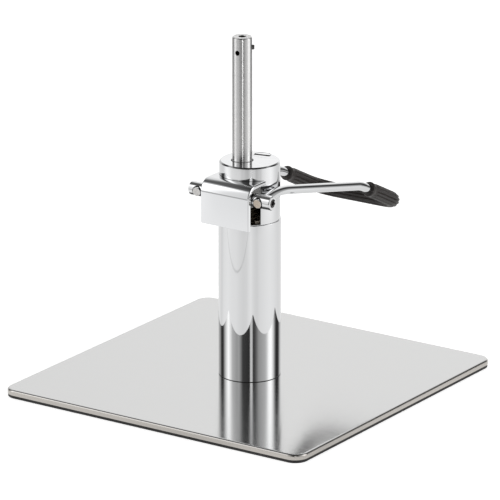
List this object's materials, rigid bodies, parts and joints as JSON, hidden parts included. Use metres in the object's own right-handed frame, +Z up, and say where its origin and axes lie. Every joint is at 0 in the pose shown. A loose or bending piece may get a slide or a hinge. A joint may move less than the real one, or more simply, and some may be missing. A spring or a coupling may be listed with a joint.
{
  "type": "hydraulic chair lift pump",
  "caption": "Hydraulic lift pump with a bare steel stem, chromed column and U-shaped foot pedal, on a square stainless floor plate.",
  "frame": {"origin": "on the floor under the column axis, at the middle of the plate's underside", "axes": "+Z up along the column, X along the lever shaft, +Y towards the foot pedal, -Y towards the lever cover"},
  "size_m": [0.5, 0.5428, 0.505],
  "materials": {
    "stainless_sheet": "brushed stainless sheet",
    "chrome_plate": "bright chrome plating",
    "plate_steel": "raw plate steel",
    "base_rubber": "matt black rubber",
    "grip_rubber": "matt ribbed rubber",
    "seal_rubber": "satin black rubber",
    "black_steel": "blackened steel",
    "ground_steel": "ground steel",
    "bright_steel": "drawn steel",
    "cast_body": "machined casting",
    "bronze": "turned bronze"
  },
  "bodies": {
    "pump": {"base_cover": "stainless_sheet", "base_core": "plate_steel", "base_gasket": "base_rubber", "rubber_feet": "base_rubber", "base_screws": "black_steel", "foot_seal": "seal_rubber", "column_sleeve": "chrome_plate", "valve_block": "cast_body", "block_seal": "seal_rubber", "valve_plugs": "bronze", "suction_filter": "bronze", "cylinder_barrel": "bright_steel", "plunger_barrel": "bright_steel", "plunger_seal": "seal_rubber", "plunger_gland": "bronze", "reservoir_lid": "cast_body", "lid_seal": "seal_rubber", "head_shell": "chrome_plate", "shaft_gland": "bronze", "gland_seal": "seal_rubber", "stroke_spacer": "bright_steel", "wiper_ring": "seal_rubber", "filler_plug": "chrome_plate", "plug_seal": "seal_rubber", "filler_tube": "bright_steel", "lever_bracket": "cast_body", "bracket_screws": "black_steel", "cover_plate": "chrome_plate", "cover_screws": "black_steel", "plunger_spring": "black_steel"},
    "piston": {"piston": "cast_body", "piston_seal": "seal_rubber"},
    "stem": {"piston_shaft": "ground_steel", "key_screw": "black_steel", "thrust_washer": "bronze", "piston_nut": "black_steel"},
    "lever": {"cross_shaft": "chrome_plate", "shaft_clips": "black_steel", "rod_set_screws": "black_steel", "cam_finger": "black_steel", "pedal_bar": "chrome_plate", "pedal_grip": "grip_rubber"},
    "plunger": {"plunger": "bright_steel", "plunger_cap": "black_steel"},
    "release": {"release_rod": "bright_steel"},
    "intake_valve": {"intake_ball": "bright_steel"},
    "delivery_valve": {"delivery_ball": "bright_steel"}
  },
  "joints": [
    {"name": "piston_lift", "type": "slide", "parent": "pump", "child": "piston", "axis": [0, 0, 1], "range_m": [0, 0.15]},
    {"name": "stem_swivel", "type": "hinge", "parent": "piston", "child": "stem", "pos_m": [-0.0075, -0.0075, 0.3], "axis": [0, 0, 1], "continuous": true},
    {"name": "pedal_tilt", "type": "hinge", "parent": "pump", "child": "lever", "pos_m": [0, -0.0465, 0.2862], "axis": [1, 0, 0], "range_deg": [-25, 0]},
    {"name": "plunger_stroke", "type": "slide", "parent": "pump", "child": "plunger", "axis": [0, 0, -1], "range_m": [0, 0.0108], "deforming": ["plunger_spring"]},
    {"name": "release_push", "type": "slide", "parent": "pump", "child": "release", "axis": [0, 0, -1], "range_m": [0, 0.003]},
    {"name": "intake_ball_lift", "type": "slide", "parent": "pump", "child": "intake_valve", "axis": [0, 0, 1], "range_m": [0, 0.003]},
    {"name": "delivery_ball_lift", "type": "slide", "parent": "pump", "child": "delivery_valve", "axis": [0, 0, 1], "range_m": [0, 0.003]}
  ],
  "couplings": [
    {"joint": "plunger_stroke", "follows": "pedal_tilt", "m_per_rad": -0.0245}
  ]
}
